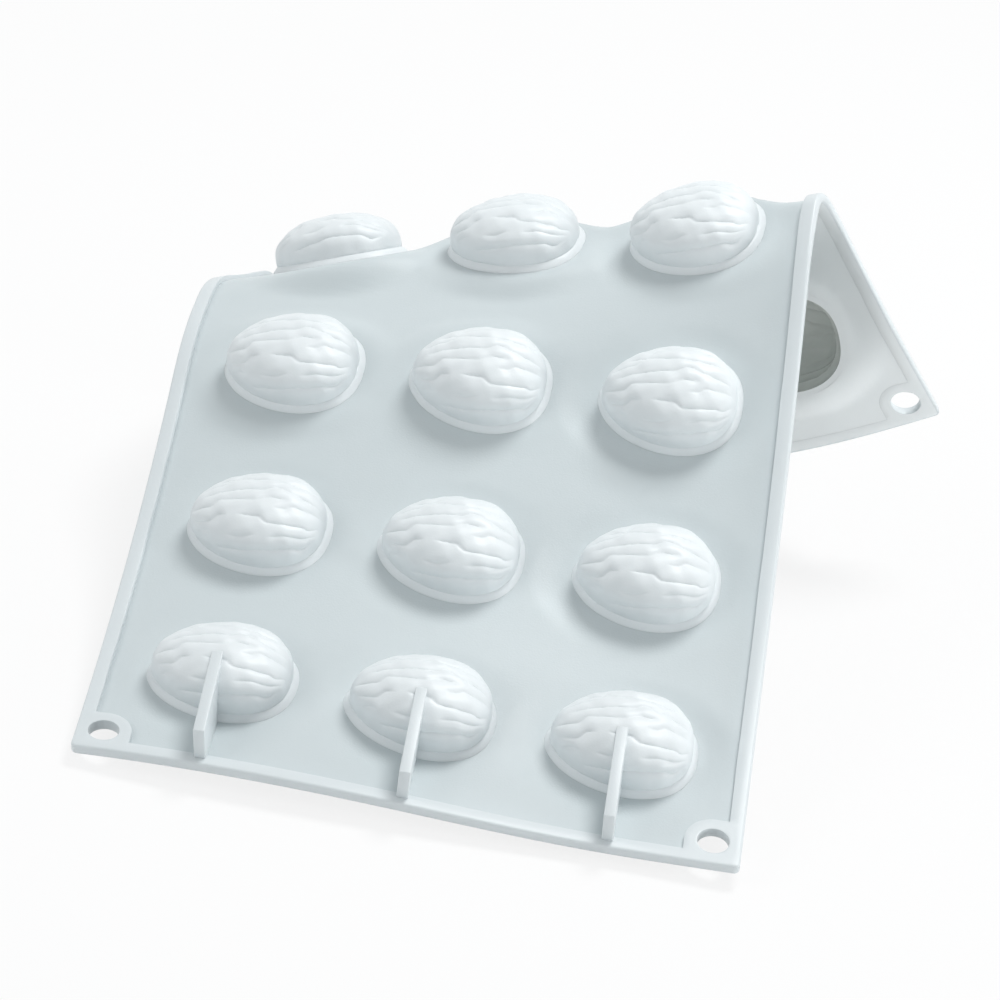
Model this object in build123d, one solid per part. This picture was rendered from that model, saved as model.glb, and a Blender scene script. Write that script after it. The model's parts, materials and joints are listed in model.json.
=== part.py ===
from build123d import *
import functools
import math
import os

# A flexible baking mould: one thin sheet with rows of walnut shell cups, folded back over itself
# and standing on its front edge and on the cups of its rear flap.
# Lengths are in millimetres and angles in degrees.
# On the sheet, u runs across from left to right and v runs along it, from the front edge
# up the front panel, over the fold and down the rear flap. Cups bulge outwards.

# Sheet
SHEET_WIDTH = 175.0
COLUMN_PITCH = 53.0
ROW_PITCH = 57.0
END_MARGIN = 36.0
COLUMN_NAMES = ("left", "middle", "right")
ROW_COUNT = 5
WEB_THICKNESS = 1.5

# Rim round the sheet
RIM_WIDTH = 4.0
RIM_RISE = 1.4

# Walnut cups, each with its pointed end to the left
CUP_HALF_LENGTH = 20.0
CUP_HALF_WIDTH = 16.0
CUP_HEIGHT = 14.0
CUP_WALL = 1.5
CUP_POINT = 0.22
CUP_ROUNDNESS = 2.3
CUP_LEVELS = (0.0, 0.3, 0.55, 0.75, 0.88, 0.96)
CUP_SIDES = 28
CUP_CROWN = 0.45

# Hanging holes in the four corners
HOLE_RADIUS = 4.2
BOSS_WALL = 3.3
HOLE_FROM_SIDE = 7.6
HOLE_FROM_END = 8.0

# Fins from the outermost cups to the rim
FIN_THICKNESS = 3.0
FIN_FROM_END = 2.4
FIN_END_HEIGHT = 9.3
FIN_CORNER = 0.8

# Clearances between pieces
CUP_GAP = 0.15
FIN_GAP = 0.3
FIN_FOOT_RISE = 0.3
BOSS_GAP = 0.1
RIM_GAP = 0.1

# The front panel flares outwards towards its front edge
FLARE = 51.8
FLARE_SKEW = 19.0
FLARE_END = 272.5
FLARE_LENGTH = 281.7

# The sheet bends back in three skewed bends. Centres are given at the left edge, the middle and the
# right edge, and angles and widths at the left and right edges.
GENTLE_ANGLE = 24.5
GENTLE_CENTRES = (160.5, 162.0, 202.0)
GENTLE_WIDTH = 31.0
GENTLE_SKEW = 18.0
CREST_ANGLES = (36.8, 65.5)
CREST_CENTRES = (187.5, 211.0, 218.5)
CREST_WIDTHS = (21.5, 14.0)
CREST_SKEW = 11.0
FOLD_ANGLES = (146.3, 72.0)
FOLD_CENTRES = (241.0, 228.0, 226.0)
FOLD_WIDTHS = (26.0, 26.0)
FOLD_SKEW = 18.0
FLAP_CURL = 34.8
FLAP_CURL_CENTRE = 261.0
FLAP_CURL_WIDTH = 30.0

# The part of the sheet that flexes when the flap opens
FLEX_MARGIN = 1.5

# How the curved sheet is divided into flat facets
STATION_STEP = 1.0
CUP_FRAME_REACH = 8.0
FLAT_ROUND_CUP = 1.08
BLEND_ROUND_CUP = 1.6
CUP_LINES = (-1.15, -0.6, 0.0, 0.6, 1.15)
ROW_LINES = (-1.62, -1.45, -1.25, -1.05, -0.6, 0.0, 0.6, 1.05, 1.25, 1.45, 1.62)
FLEX_CELLS = 6
LINE_GAP = 1.0

HALF_WIDTH = SHEET_WIDTH / 2
SHEET_LENGTH = 2 * END_MARGIN + (ROW_COUNT - 1) * ROW_PITCH
REFERENCE_V = 175.0
COLUMNS = tuple((index - 1) * COLUMN_PITCH for index in range(len(COLUMN_NAMES)))
ROWS = tuple(END_MARGIN + index * ROW_PITCH for index in range(ROW_COUNT))
FLEX_START = ROWS[3] + CUP_HALF_WIDTH + FLEX_MARGIN
FLEX_END = ROWS[4] - CUP_HALF_WIDTH - FLEX_MARGIN
BOSS_RADIUS = HOLE_RADIUS + BOSS_WALL


def smooth_step(t):
    t = min(max(t, 0.0), 1.0)
    return t * t * (3 - 2 * t)


def soft_ramp(t):
    """Rise from 0 to 1 while t goes from -0.5 to 0.5, with soft ends."""
    return 0.5 * smooth_step(t + 0.5) + 0.5 * min(max(t + 0.5, 0.0), 1.0)


def through(values, u):
    """Curve through the values at the left edge, the middle and the right edge."""
    left, middle, right = values
    x = u / HALF_WIDTH
    return middle + (right - left) / 2 * x + ((right + left) / 2 - middle) * x * x


def between(values, u):
    left, right = values
    return left + (right - left) * (u / HALF_WIDTH + 1) / 2


def turned(vector, skew, angle):
    """Turn a vector about the axis in the sheet that is skewed from its width."""
    axis = Vector(math.cos(math.radians(skew)), math.sin(math.radians(skew)), 0)
    cosine = math.cos(math.radians(angle))
    sine = math.sin(math.radians(angle))
    along = axis * (axis.dot(vector) * (1 - cosine))
    return vector * cosine + axis.cross(vector) * sine + along


def direction(u, v):
    """Unit vector along the sheet at a point, from its front edge towards its far edge."""
    curl = math.radians(FLAP_CURL * soft_ramp((v - FLAP_CURL_CENTRE) / FLAP_CURL_WIDTH))
    fold = between(FOLD_ANGLES, u) * soft_ramp((v - through(FOLD_CENTRES, u)) / between(FOLD_WIDTHS, u))
    crest = between(CREST_ANGLES, u) * soft_ramp((v - through(CREST_CENTRES, u)) / between(CREST_WIDTHS, u))
    gentle = GENTLE_ANGLE * soft_ramp((v - through(GENTLE_CENTRES, u)) / GENTLE_WIDTH)
    skew = math.radians(FLARE_SKEW)
    ahead = -(u * math.sin(skew) + (v - FLARE_END) * math.cos(skew))
    flare = FLARE * min(max(ahead / FLARE_LENGTH, 0.0), 1.0)
    result = Vector(0, math.cos(curl), math.sin(curl))
    result = turned(result, FOLD_SKEW, -fold)
    result = turned(result, CREST_SKEW, -crest)
    result = turned(result, GENTLE_SKEW, -gentle)
    return turned(result, -FLARE_SKEW, -flare)


@functools.lru_cache(maxsize=None)
def column_line(u):
    """Points along the sheet at one u, one for every station."""
    count = round(SHEET_LENGTH / STATION_STEP)
    step = SHEET_LENGTH / count
    steps = [direction(u, step * (index + 0.5)) * step for index in range(count)]
    points = [Vector(0, 0, 0)]
    for move in steps:
        points.append(points[-1] + move)
    place = REFERENCE_V / step
    low = int(place)
    reference = points[low] + (points[low + 1] - points[low]) * (place - low)
    shift = Vector(u, 0, 0) - reference
    return tuple(point + shift for point in points)


def bent_point(u, v):
    """Point of the bent sheet before the web is flattened round the cups."""
    line = column_line(round(u, 4))
    place = min(max(v / SHEET_LENGTH * (len(line) - 1), 0.0), len(line) - 1.0)
    low = min(int(place), len(line) - 2)
    return line[low] + (line[low + 1] - line[low]) * (place - low)


@functools.lru_cache(maxsize=None)
def cup_plane(row, column):
    """Plane of a cup's mouth, with x to the right, y along the sheet and z outwards."""
    u = COLUMNS[column]
    v = ROWS[row]
    reach = CUP_FRAME_REACH
    across = bent_point(u + reach, v) - bent_point(u - reach, v)
    along = bent_point(u, v + reach) - bent_point(u, v - reach)
    ends = (bent_point(u, v + reach) + bent_point(u, v - reach)) * 0.5
    origin = (ends + bent_point(u, v)) * 0.5
    return Plane(origin=origin, x_dir=across, z_dir=across.cross(along))


@functools.lru_cache(maxsize=None)
def sheet_point(u, v):
    """Point of the web's outer face: bent between the cups and flat round each of them."""
    bent = bent_point(u, v)
    total = 0.0
    shift = Vector(0, 0, 0)
    for row, row_v in enumerate(ROWS):
        for column, column_u in enumerate(COLUMNS):
            x = u - column_u
            y = v - row_v
            distance = math.hypot(x / CUP_HALF_LENGTH, y / CUP_HALF_WIDTH)
            weight = 1 - smooth_step((distance - FLAT_ROUND_CUP) / (BLEND_ROUND_CUP - FLAT_ROUND_CUP))
            if weight > 0:
                flat = cup_plane(row, column).from_local_coords(Vector(x, y, 0))
                shift = shift + (flat - bent) * weight
                total += weight
    return bent + shift * (1 / max(total, 1.0))


@functools.lru_cache(maxsize=None)
def sheet_normal(u, v):
    """Outward normal of the sheet."""
    reach = 1.0
    u_low = max(u - reach, -HALF_WIDTH)
    u_high = min(u + reach, HALF_WIDTH)
    v_low = max(v - reach, 0.0)
    v_high = min(v + reach, SHEET_LENGTH)
    across = sheet_point(u_high, v) - sheet_point(u_low, v)
    along = sheet_point(u, v_high) - sheet_point(u, v_low)
    return across.cross(along).normalized()


def offset_point(u, v, height):
    return sheet_point(u, v) + sheet_normal(u, v) * height


def local_plane(u, v):
    """Plane on the sheet at a point, with x across, y along and z outwards."""
    across = sheet_point(u + 2, v) - sheet_point(u - 2, v)
    return Plane(origin=sheet_point(u, v), x_dir=across, z_dir=sheet_normal(u, v))


def facet(*points):
    return Face(Wire.make_polygon(points, close=True))


def slab(u_lines, v_lines, low, high):
    """Closed solid that follows the sheet, from one height over its outer face to another."""
    top = [[offset_point(u, v, high) for v in v_lines] for u in u_lines]
    bottom = [[offset_point(u, v, low) for v in v_lines] for u in u_lines]
    faces = []
    for i in range(len(u_lines) - 1):
        for j in range(len(v_lines) - 1):
            faces.append(facet(top[i][j], top[i + 1][j], top[i + 1][j + 1]))
            faces.append(facet(top[i][j], top[i + 1][j + 1], top[i][j + 1]))
            faces.append(facet(bottom[i][j], bottom[i + 1][j + 1], bottom[i + 1][j]))
            faces.append(facet(bottom[i][j], bottom[i][j + 1], bottom[i + 1][j + 1]))
    last_u = len(u_lines) - 1
    last_v = len(v_lines) - 1
    for i in range(last_u):
        faces.append(facet(top[i][0], bottom[i + 1][0], top[i + 1][0]))
        faces.append(facet(top[i][0], bottom[i][0], bottom[i + 1][0]))
        faces.append(facet(top[i][last_v], top[i + 1][last_v], bottom[i + 1][last_v]))
        faces.append(facet(top[i][last_v], bottom[i + 1][last_v], bottom[i][last_v]))
    for j in range(last_v):
        faces.append(facet(top[0][j], top[0][j + 1], bottom[0][j + 1]))
        faces.append(facet(top[0][j], bottom[0][j + 1], bottom[0][j]))
        faces.append(facet(top[last_u][j], bottom[last_u][j + 1], top[last_u][j + 1]))
        faces.append(facet(top[last_u][j], bottom[last_u][j], bottom[last_u][j + 1]))
    return Solid(Shell(faces))


def cup_outline(half_length, half_width):
    """Walnut outline, pointed at its left end."""
    points = []
    for index in range(CUP_SIDES):
        angle = 2 * math.pi * index / CUP_SIDES
        pinch = (1 + CUP_POINT * math.cos(angle)) / (1 + CUP_POINT * CUP_POINT / 2)
        points.append((half_length * math.cos(angle), half_width * math.sin(angle) * pinch))
    return points


def cup_scale(share):
    """Size of a cup's outline at a share of its height, down to a small flat crown."""
    if share > CUP_LEVELS[-1]:
        return CUP_CROWN * cup_scale(CUP_LEVELS[-1])
    return (1 - share ** CUP_ROUNDNESS) ** (1 / CUP_ROUNDNESS)


def cup_form(half_length, half_width, height, depth):
    """Solid dome over the mouth's plane, carried straight down by a depth under it."""
    levels = [(-depth, 1.0)]
    for share in CUP_LEVELS:
        levels.append((share * height, cup_scale(share)))
    levels.append((height, cup_scale(1.0)))
    sections = []
    for z, scale in levels:
        outline = cup_outline(half_length * scale, half_width * scale)
        sections.append(Wire.make_polygon([Vector(x, y, z) for x, y in outline], close=True))
    return Solid.make_loft(sections, ruled=True)


def cup_shell():
    outer = cup_form(CUP_HALF_LENGTH, CUP_HALF_WIDTH, CUP_HEIGHT, WEB_THICKNESS)
    cavity = cup_form(
        CUP_HALF_LENGTH - CUP_WALL, CUP_HALF_WIDTH - CUP_WALL, CUP_HEIGHT - CUP_WALL, 2 * WEB_THICKNESS
    )
    return outer - cavity


def hole_planes():
    """Planes at the four hanging holes, by node name."""
    u = HALF_WIDTH - HOLE_FROM_SIDE
    v = HOLE_FROM_END
    places = {
        "front_left_corner_boss": (-u, v),
        "front_right_corner_boss": (u, v),
        "rear_left_corner_boss": (-u, SHEET_LENGTH - v),
        "rear_right_corner_boss": (u, SHEET_LENGTH - v),
    }
    return {name: local_plane(*place) for name, place in places.items()}


def corner_form(name, radius, reach, low, high):
    """Round eyelet with the square corner of the rim outside it, between two heights."""
    side = -1 if "left" in name else 1
    end = -1 if "front" in name else 1
    round_part = Solid.make_cylinder(radius, high - low, Plane(origin=(0, 0, low)))
    length = HOLE_FROM_SIDE + reach
    width = HOLE_FROM_END + reach
    square = Solid.make_box(length, width, high - low)
    shift = Location(Vector(min(side * length, 0), min(end * width, 0), low))
    return round_part + square.moved(shift)


def corner_boss(name, plane):
    """Corner eyelet with its hole, as thick as the rim."""
    outer = corner_form(name, BOSS_RADIUS, 0.0, -WEB_THICKNESS, RIM_RISE)
    thickness = WEB_THICKNESS + RIM_RISE
    hole = Solid.make_cylinder(HOLE_RADIUS, thickness, Plane(origin=(0, 0, -WEB_THICKNESS)))
    return (outer - hole).moved(plane.location)


def boss_cutter(name, plane):
    """Cutter that clears a corner eyelet out of the web and the rims."""
    depth = 4 * WEB_THICKNESS
    return corner_form(name, BOSS_RADIUS + BOSS_GAP, RIM_WIDTH, -depth, depth).moved(plane.location)


def outline_reach(angle):
    """Distance from a cup's centre to its outline, in the direction at an angle from its y axis."""
    toward = Vector(-math.sin(angle), math.cos(angle))
    outline = [Vector(x, y) for x, y in cup_outline(CUP_HALF_LENGTH, CUP_HALF_WIDTH)]
    reach = CUP_HALF_LENGTH
    for index, point in enumerate(outline):
        edge = outline[index] - outline[index - 1]
        normal = Vector(edge.Y, -edge.X)
        if normal.dot(toward) > 0:
            reach = min(reach, normal.dot(point) / normal.dot(toward))
    return reach


def fin(row, column):
    """Upright plate from beside a cup's crown to the rim at the sheet's end."""
    u = COLUMNS[column]
    outward = -1 if row == 0 else 1
    end = 0.0 if row == 0 else SHEET_LENGTH
    rim_edge = end - outward * (RIM_WIDTH + FIN_GAP)
    face = end - outward * FIN_FROM_END
    mouth = cup_plane(row, column)
    aim = mouth.to_local_coords(offset_point(u, face, 0.0))
    angle = -math.atan2(outward * aim.X, outward * aim.Y)
    across = mouth.x_dir * math.cos(angle) + mouth.y_dir * math.sin(angle)
    plane = Plane(origin=mouth.origin, x_dir=across, z_dir=mouth.z_dir)
    reach = outline_reach(angle if row else angle + math.pi)

    def local(place, height):
        point = plane.to_local_coords(offset_point(u, place, height + FIN_GAP))
        return (point.Y, point.Z)

    outline = []
    for share in reversed(CUP_LEVELS[1:]):
        outline.append((outward * (reach * cup_scale(share) + FIN_GAP), share * CUP_HEIGHT + FIN_GAP))
    outline.append((outward * (reach + FIN_GAP), FIN_GAP))
    lines = [ROWS[row] + outward * CUP_HALF_WIDTH * share for share in ROW_LINES if share > 1.1]
    outline += [local(place, FIN_FOOT_RISE) for place in lines + [rim_edge]]
    outline += [local(rim_edge, RIM_RISE), local(face, RIM_RISE)]
    face_y, face_z = outline[-1]
    corner = Vector(face_y, face_z + FIN_END_HEIGHT)
    crown = Vector(outline[0][0], CUP_HEIGHT)
    eased = corner + (crown - corner).normalized() * FIN_CORNER
    outline += [(corner.X, corner.Y - FIN_CORNER), (eased.X, eased.Y), (crown.X, crown.Y)]
    left = [plane.from_local_coords(Vector(-FIN_THICKNESS / 2, y, z)) for y, z in outline]
    return Solid.extrude(Face(Wire.make_polygon(left, close=True)), plane.x_dir * FIN_THICKNESS)


def web_lines():
    """Facet lines across the web between the side rims."""
    edge = HALF_WIDTH - RIM_WIDTH - RIM_GAP
    lines = [-edge]
    for u in COLUMNS:
        lines += [u + CUP_HALF_LENGTH * share for share in CUP_LINES]
    return lines + [edge]


def row_lines(low, high, row):
    """Facet lines along the sheet over one row of cups."""
    inner = [ROWS[row] + CUP_HALF_WIDTH * share for share in ROW_LINES]
    return [low] + [v for v in inner if low + LINE_GAP < v < high - LINE_GAP] + [high]


def evenly(low, high, count):
    return [low + (high - low) * index / count for index in range(count + 1)]


def row_span(row):
    """Where a row's web starts and ends along the sheet."""
    margin = RIM_WIDTH + RIM_GAP
    starts = [margin] + [(ROWS[i] + ROWS[i + 1]) / 2 for i in range(3)] + [FLEX_END]
    ends = starts[1:4] + [FLEX_START, SHEET_LENGTH - margin]
    return starts[row], ends[row]


def build_webs(cutters, bosses):
    nodes = {}
    for row in range(ROW_COUNT):
        low, high = row_span(row)
        web = slab(web_lines(), row_lines(low, high, row), -WEB_THICKNESS, 0.0)
        for column in range(len(COLUMNS)):
            web = web - cutters[row, column]
        if row in (0, ROW_COUNT - 1):
            end = "front" if row == 0 else "rear"
            for side in ("left", "right"):
                web = web - bosses[f"{end}_{side}_corner_boss"]
        nodes[f"web_row_{row + 1}"] = web
    fold = slab(web_lines(), evenly(FLEX_START, FLEX_END, FLEX_CELLS), -WEB_THICKNESS, 0.0)
    for column in range(len(COLUMNS)):
        fold = fold - cutters[3, column]
    nodes["fold_web"] = fold
    return nodes


def build_rims(bosses):
    nodes = {}
    front_lines = [0.0, row_span(0)[0]]
    for row in range(4):
        low, high = row_span(row)
        front_lines += row_lines(low, high, row)[1:]
    rear_lines = row_lines(*row_span(ROW_COUNT - 1), ROW_COUNT - 1) + [SHEET_LENGTH]
    flex_lines = evenly(FLEX_START, FLEX_END, FLEX_CELLS)
    edge = HALF_WIDTH - RIM_WIDTH
    for side, u_lines in (("left", [-HALF_WIDTH, -edge]), ("right", [edge, HALF_WIDTH])):
        front = slab(u_lines, front_lines, -WEB_THICKNESS, RIM_RISE)
        rear = slab(u_lines, rear_lines, -WEB_THICKNESS, RIM_RISE)
        nodes[f"front_{side}_rim"] = front - bosses[f"front_{side}_corner_boss"]
        nodes[f"rear_{side}_rim"] = rear - bosses[f"rear_{side}_corner_boss"]
        nodes[f"fold_{side}_rim"] = slab(u_lines, flex_lines, -WEB_THICKNESS, RIM_RISE)
    for end, low in (("front", 0.0), ("rear", SHEET_LENGTH - RIM_WIDTH)):
        strip = slab(web_lines(), [low, low + RIM_WIDTH], -WEB_THICKNESS, RIM_RISE)
        for side in ("left", "right"):
            strip = strip - bosses[f"{end}_{side}_corner_boss"]
        nodes[f"{end}_end_rim"] = strip
    return nodes


def build_cups():
    shell = cup_shell()
    cutter = cup_form(
        CUP_HALF_LENGTH + CUP_GAP, CUP_HALF_WIDTH + CUP_GAP, CUP_HEIGHT + CUP_GAP, 4 * WEB_THICKNESS
    )
    nodes = {}
    cutters = {}
    for row in range(ROW_COUNT):
        for column, name in enumerate(COLUMN_NAMES):
            place = cup_plane(row, column).location
            nodes[f"cup_row_{row + 1}_{name}"] = shell.moved(place)
            cutters[row, column] = cutter.moved(place)
            if row in (0, ROW_COUNT - 1):
                end = "front" if row == 0 else "rear"
                nodes[f"{end}_fin_{name}"] = fin(row, column)
    return nodes, cutters


def contact_points():
    """Points that may touch the table: the front edge, and the crowns and the end edge behind."""
    front = []
    for u in [-HALF_WIDTH] + web_lines() + [HALF_WIDTH]:
        front += [offset_point(u, 0.0, -WEB_THICKNESS), offset_point(u, 0.0, RIM_RISE)]
    rear = []
    for column in range(len(COLUMNS)):
        plane = cup_plane(ROW_COUNT - 1, column)
        outline = cup_outline(CUP_HALF_LENGTH, CUP_HALF_WIDTH)
        for share in CUP_LEVELS[2:] + (1.0,):
            scale = cup_scale(share)
            rear += [plane.from_local_coords(Vector(x * scale, y * scale, share * CUP_HEIGHT))
                     for x, y in outline]
    rear += [offset_point(u, SHEET_LENGTH, RIM_RISE) for u in web_lines()]
    return front, rear


def table_plane(fins):
    """Plane through two points of the front edge and one behind, with all the others above it."""
    front, rear = contact_points()
    for plate in fins:
        rear += [Vector(*vertex) for vertex in plate.vertices()]
    best = None
    for i, first in enumerate(front):
        for second in front[i + 1:]:
            if (second - first).length < HALF_WIDTH:
                continue
            across = second - first if second.X > first.X else first - second
            low = min(rear, key=lambda point: slope(point, first, across))
            up = across.cross(low - first).normalized()
            depth = min(up.dot(point - first) for point in front)
            if best is None or depth > best[0]:
                best = (depth, Plane(origin=first, x_dir=across, z_dir=up))
    return best[1]


def slope(point, first, across):
    """Steepness of the plane through the front edge and a point behind it."""
    back = Vector(0, 0, -1) - across * (across.dot(Vector(0, 0, -1)) / across.dot(across))
    back = back.normalized()
    up = across.cross(back).normalized()
    offset = point - first
    return offset.dot(up) / offset.dot(back)


def main():
    planes = hole_planes()
    boss_cutters = {name: boss_cutter(name, plane) for name, plane in planes.items()}
    nodes, cutters = build_cups()
    nodes.update(build_webs(cutters, boss_cutters))
    nodes.update(build_rims(boss_cutters))
    nodes.update({name: corner_boss(name, plane) for name, plane in planes.items()})

    table = table_plane([solid for name, solid in nodes.items() if name.startswith("rear_fin")])
    stand = table.location.inverse()
    nodes = {name: solid.moved(stand) for name, solid in nodes.items()}
    boxes = [solid.bounding_box() for solid in nodes.values()]
    middle_x = (min(box.min.X for box in boxes) + max(box.max.X for box in boxes)) / 2
    middle_y = (min(box.min.Y for box in boxes) + max(box.max.Y for box in boxes)) / 2
    centre = Location(Vector(-middle_x, -middle_y, -min(box.min.Z for box in boxes)))

    os.makedirs("parts", exist_ok=True)
    for name, solid in nodes.items():
        export_step(solid.moved(centre), f"parts/{name}.step")

    def placed(point):
        return (centre * Location(table.to_local_coords(point))).position

    axis_points = []
    for u in (-HALF_WIDTH, HALF_WIDTH):
        line = [offset_point(u, v, -WEB_THICKNESS / 2) for v in evenly(FLEX_START, FLEX_END, FLEX_CELLS)]
        axis_points.append(placed(sum(line, Vector(0, 0, 0)) * (1 / len(line))))
    print("fold axis from", axis_points[0], "to", axis_points[1])
    for name, plane in planes.items():
        print(name, placed(plane.origin), "axis", placed(plane.origin + plane.z_dir) - placed(plane.origin))
    for row in range(ROW_COUNT):
        for column in range(len(COLUMNS)):
            plane = cup_plane(row, column)
            corner = placed(plane.origin)
            print("cup", row + 1, column + 1, corner, placed(plane.origin + plane.x_dir) - corner,
                  placed(plane.origin + plane.z_dir) - corner)


main()
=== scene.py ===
# %% [markdown]
# A walnut baking mould in Blender. The real object is one casting of white silicone: a thin sheet
# with a raised rim, fifteen walnut shell cups, small fins and four eyelets, bent back over itself.
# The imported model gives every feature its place. This script gives each one its finished shape,
# its silicone, its light and its camera.

# %% Load the frame
import json
import math
import bmesh
import bpy
import numpy as np
from mathutils import Matrix, Vector


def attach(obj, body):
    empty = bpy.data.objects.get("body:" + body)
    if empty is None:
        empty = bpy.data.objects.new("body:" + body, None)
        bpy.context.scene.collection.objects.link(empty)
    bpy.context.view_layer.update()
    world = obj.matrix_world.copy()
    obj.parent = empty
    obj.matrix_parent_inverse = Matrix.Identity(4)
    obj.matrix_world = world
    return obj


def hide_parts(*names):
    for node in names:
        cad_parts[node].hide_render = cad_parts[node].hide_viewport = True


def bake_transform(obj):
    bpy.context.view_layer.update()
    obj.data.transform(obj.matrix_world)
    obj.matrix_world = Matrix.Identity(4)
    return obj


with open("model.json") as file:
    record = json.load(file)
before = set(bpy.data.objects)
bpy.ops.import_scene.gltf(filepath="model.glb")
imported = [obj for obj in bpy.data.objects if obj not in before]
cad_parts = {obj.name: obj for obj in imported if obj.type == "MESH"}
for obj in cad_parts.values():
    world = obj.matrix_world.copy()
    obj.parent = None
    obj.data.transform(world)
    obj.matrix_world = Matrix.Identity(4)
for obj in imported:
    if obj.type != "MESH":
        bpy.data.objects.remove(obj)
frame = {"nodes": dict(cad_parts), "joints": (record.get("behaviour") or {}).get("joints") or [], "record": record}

bpy.context.view_layer.update()
scene = bpy.context.scene

# %% [markdown]
# The sheet is flat when it leaves its casting tool and is bent afterwards, so it is modelled the
# same way: every feature is made flat, with u across the sheet, v along it and h above its outer
# face, and one bend carries it all to where it stands. The bend is the same formula as the CAD's,
# in millimetres.

# %% Sizes of the flat sheet
COLUMN_NAMES = ("left", "middle", "right")
COLUMNS = (-53.0, 0.0, 53.0)
ROWS = (36.0, 93.0, 150.0, 207.0, 264.0)
HALF_WIDTH = 87.5
SHEET_LENGTH = 300.0
WEB_THICKNESS = 1.5
RIM_WIDTH = 4.0
RIM_RISE = 1.4
CUP_HALF_LENGTH = 20.0
CUP_HALF_WIDTH = 16.0
CUP_HEIGHT = 14.0
CUP_WALL = 1.5
HOLE_RADIUS = 4.2
HOLE_FROM_SIDE = 7.6
HOLE_FROM_END = 8.0
BOSS_RADIUS = 7.5

# %% [markdown]
# The sheet bends in five steps, each about an axis that is skewed from its width. A place is counted
# from the front edge, an angle is in degrees, and a pair or a triple runs from left to right.

# %% Angles and places of the bends
FLARE, FLARE_SKEW, FLARE_END, FLARE_LENGTH = 51.8, 19, 272.5, 281.7
GENTLE_ANGLE, GENTLE_WIDTH, GENTLE_SKEW = 24.5, 31, 18
GENTLE_CENTRES = (160.5, 162, 202)
CREST_ANGLES, CREST_WIDTHS, CREST_SKEW = (36.8, 65.5), (21.5, 14), 11
CREST_CENTRES = (187.5, 211, 218.5)
FOLD_ANGLES, FOLD_WIDTH, FOLD_SKEW = (146.3, 72), 26, 18
FOLD_CENTRES = (241, 228, 226)
CURL_ANGLE, CURL_CENTRE, CURL_WIDTH = 34.8, 261, 30
REFERENCE_V = 175

# %% [markdown]
# A bend comes up smoothly over its width. The sheet's direction at every station is a vector turned
# about each bend's axis in turn. Summed up, the directions are the bent sheet itself, a table that is
# read between its stations.


# %% How the sheet bends
def smooth_step(t):
    t = np.clip(t, 0.0, 1.0)
    return t * t * (3 - 2 * t)


def soft_ramp(t):
    return 0.5 * smooth_step(t + 0.5) + 0.5 * np.clip(t + 0.5, 0.0, 1.0)


def through(left, middle, right, x):
    return middle + (right - left) / 2 * x + ((right + left) / 2 - middle) * x * x


def between(left, right, x):
    return left + (right - left) * (x + 1) / 2


def turned(vectors, skew, angle):
    """Vectors turned about the axis in the sheet that is skewed from its width, in degrees."""
    axis = np.array([math.cos(math.radians(skew)), math.sin(math.radians(skew)), 0.0])
    cosine = np.cos(np.radians(angle))[..., None]
    sine = np.sin(np.radians(angle))[..., None]
    along = axis * (vectors @ axis)[..., None] * (1 - cosine)
    return vectors * cosine + np.cross(axis, vectors) * sine + along


def direction(u, v):
    """Unit vectors along the sheet, from the flare at its front edge over the fold to the flap."""
    x = u / HALF_WIDTH
    curl = np.radians(CURL_ANGLE * soft_ramp((v - CURL_CENTRE) / CURL_WIDTH))
    fold = between(*FOLD_ANGLES, x) * soft_ramp((v - through(*FOLD_CENTRES, x)) / FOLD_WIDTH)
    crest_width = between(*CREST_WIDTHS, x)
    crest = between(*CREST_ANGLES, x) * soft_ramp((v - through(*CREST_CENTRES, x)) / crest_width)
    gentle = GENTLE_ANGLE * soft_ramp((v - through(*GENTLE_CENTRES, x)) / GENTLE_WIDTH)
    skew = math.radians(FLARE_SKEW)
    ahead = -(u * math.sin(skew) + (v - FLARE_END) * math.cos(skew))
    flare = FLARE * np.clip(ahead / FLARE_LENGTH, 0.0, 1.0)
    result = np.stack([np.zeros_like(u), np.cos(curl), np.sin(curl)], axis=-1)
    bends = ((FOLD_SKEW, fold), (CREST_SKEW, crest), (GENTLE_SKEW, gentle), (-FLARE_SKEW, flare))
    for axis_skew, angle in bends:
        result = turned(result, axis_skew, -angle)
    return result


U_STEP = 0.5
V_STEP = 0.25
U_MARGIN = 2
U_TABLE = np.arange(-HALF_WIDTH - U_MARGIN, HALF_WIDTH + U_MARGIN + U_STEP, U_STEP)
V_TABLE = np.arange(0, SHEET_LENGTH, V_STEP)
steps = direction(*np.meshgrid(U_TABLE, V_TABLE + V_STEP / 2, indexing="ij")) * V_STEP
BENT = np.concatenate([np.zeros((len(U_TABLE), 1, 3)), np.cumsum(steps, axis=1)], axis=1)
BENT += (np.outer(U_TABLE, (1, 0, 0)) - BENT[:, round(REFERENCE_V / V_STEP)])[:, None]
print("bend table", BENT.shape)


def bent(u, v):
    """Points of the bent sheet, read between the stations of the table."""
    place_u = np.clip((u - U_TABLE[0]) / U_STEP, 0, len(U_TABLE) - 1.001)
    place_v = np.clip(v / V_STEP, 0, len(V_TABLE) - 0.001)
    i, j = place_u.astype(int), place_v.astype(int)
    s, t = (place_u - i)[..., None], (place_v - j)[..., None]
    near = BENT[i, j] * (1 - t) + BENT[i, j + 1] * t
    far = BENT[i + 1, j] * (1 - t) + BENT[i + 1, j + 1] * t
    return near * (1 - s) + far * s


# %% [markdown]
# Each cup keeps its own shape when the rubber bends, so the sheet stays flat round every cup and
# bends between them. A cup's frame is its middle and three directions: right, up the sheet and out.

# %% Frames of the cups, and the sheet that is flat round them
FLAT_TO = 1.08
FADE = 0.52


def unit(vector):
    return vector / np.linalg.norm(vector)


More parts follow.
